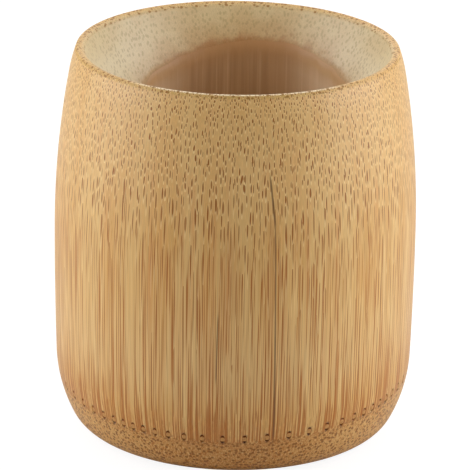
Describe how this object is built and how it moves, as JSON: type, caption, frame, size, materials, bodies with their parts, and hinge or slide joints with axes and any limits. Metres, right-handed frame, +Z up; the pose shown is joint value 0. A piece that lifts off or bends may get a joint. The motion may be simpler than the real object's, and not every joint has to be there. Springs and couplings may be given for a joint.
{
  "type": "bamboo cup",
  "caption": "Barrel-shaped drinking cup turned from one butt length of bamboo culm, with a coned mouth, a natural node floor and a ring of root buds above the foot.",
  "frame": {"origin": "centre of the foot, on the surface that the cup stands on; this is the axis that the outside was turned about", "axes": "+Z up out of the mouth, -Y towards the picture's camera, +X to the right as seen from there"},
  "size_m": [0.08, 0.08, 0.0873],
  "materials": {
    "bamboo_flesh": "turned and sanded smooth, clear satin oil; fibre bundles show as darker dashes",
    "inner_skin": "natural brown inner skin with fine upright ribs, matt",
    "septum_wood": "sanded cross-grown node tissue, matt",
    "bud_wood": "cut root buds, pale core with dark pores"
  },
  "bodies": {
    "root": {"cup_wall": "bamboo_flesh", "inner_skin": "inner_skin", "floor_septum": "septum_wood", "root_buds": "bud_wood"}
  },
  "joints": []
}
